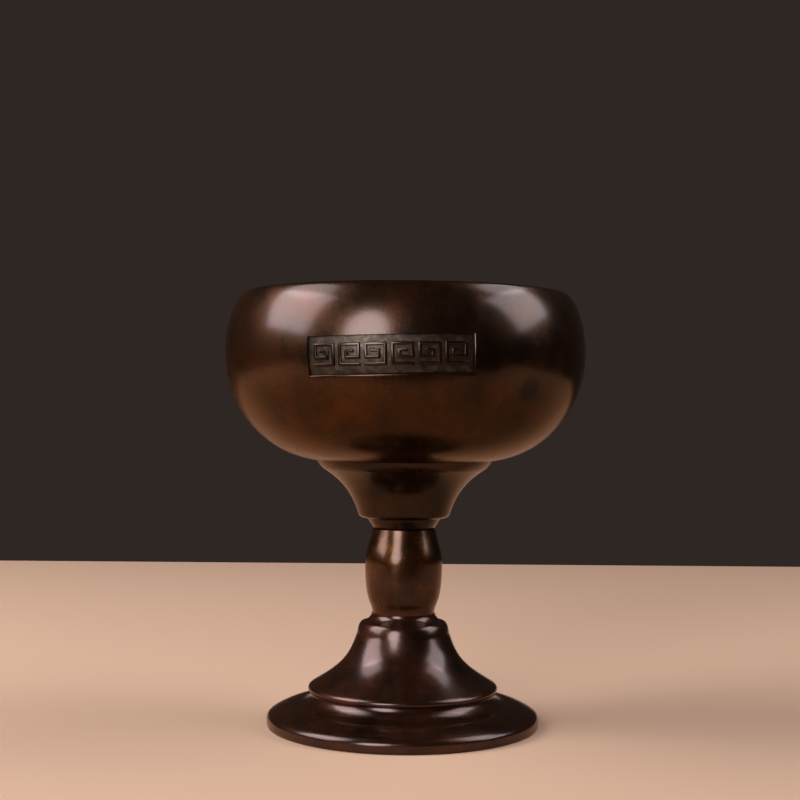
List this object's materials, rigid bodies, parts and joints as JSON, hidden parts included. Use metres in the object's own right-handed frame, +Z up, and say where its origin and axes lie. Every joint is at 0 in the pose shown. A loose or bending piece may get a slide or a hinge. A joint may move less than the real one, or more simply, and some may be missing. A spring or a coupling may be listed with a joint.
{
  "type": "stem incense burner",
  "caption": "Cast copper-alloy incense burner: an incurved round bowl on a turned knop stem and a spreading bell foot with a round base disc.",
  "frame": {"origin": "middle of the resting face, on the surface the burner stands on", "axes": "+Z up along the axis of the stem, the bowl's sunk panel facing -Y"},
  "size_m": [0.1, 0.0999, 0.1195],
  "materials": {
    "bowl_patina": "cast copper alloy, turned, chemically patinated deep chestnut brown and waxed, satin",
    "stem_patina": "cast copper alloy, turned, patinated dark red-brown and waxed, satin",
    "foot_patina": "cast copper alloy, turned, patinated dark red-brown and waxed, satin",
    "steel": "plain turned steel, dull"
  },
  "bodies": {
    "root": {"bowl": "bowl_patina", "neck": "stem_patina", "knop": "stem_patina", "bell_foot": "foot_patina", "base_disc": "foot_patina", "tie_rod": "steel", "flat_washer": "steel", "spring_washer": "steel", "hex_nut": "steel"}
  },
  "joints": []
}
